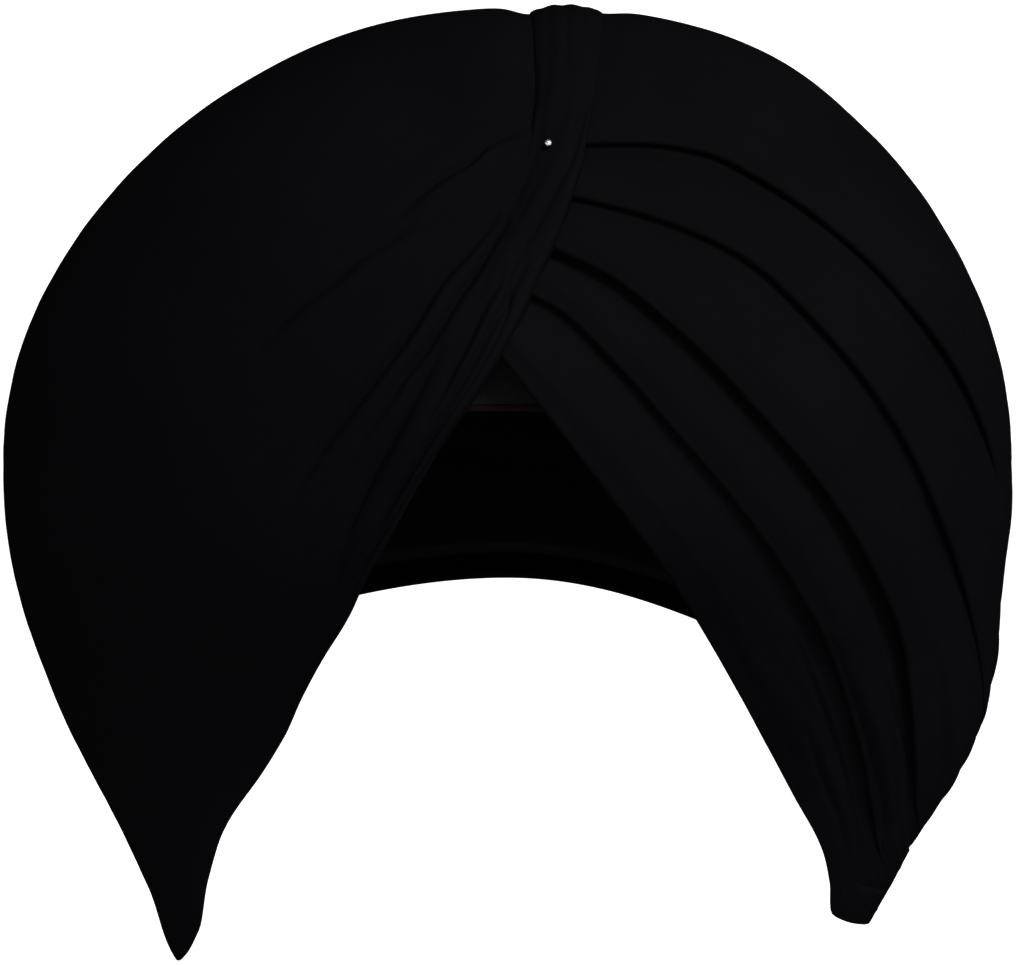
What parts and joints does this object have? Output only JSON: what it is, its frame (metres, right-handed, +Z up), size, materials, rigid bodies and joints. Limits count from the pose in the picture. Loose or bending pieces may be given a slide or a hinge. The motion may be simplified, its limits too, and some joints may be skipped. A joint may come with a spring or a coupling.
{
  "type": "pagri turban",
  "caption": "Black wound pagri turban with five stepped turns on the left, a smooth right side, and a pleated band from the crown down a slant to the forehead",
  "frame": {"origin": "The point at the top of the hollow where the turban seats on the crown of the head", "axes": "+Z up, -Y to the front over the forehead, +X to the wearer's left"},
  "size_m": [0.2996, 0.2608, 0.2871],
  "materials": {
    "black_voile": "fine plain-woven cotton voile, black, matt with a faint sheen",
    "under_cloth": "plain cotton, black, matt",
    "hem_cloth": "rolled cotton hem, very dark reddish brown",
    "pin_steel": "nickelled steel pin with a small round head"
  },
  "bodies": {
    "root": {"turn_1": "black_voile", "turn_2": "black_voile", "turn_3": "black_voile", "turn_4": "black_voile", "turn_5": "black_voile", "smooth_layer": "black_voile", "crown_band": "black_voile", "wound_core": "black_voile", "under_turban": "under_cloth", "under_turban_hem": "hem_cloth", "pin": "pin_steel"}
  },
  "joints": []
}
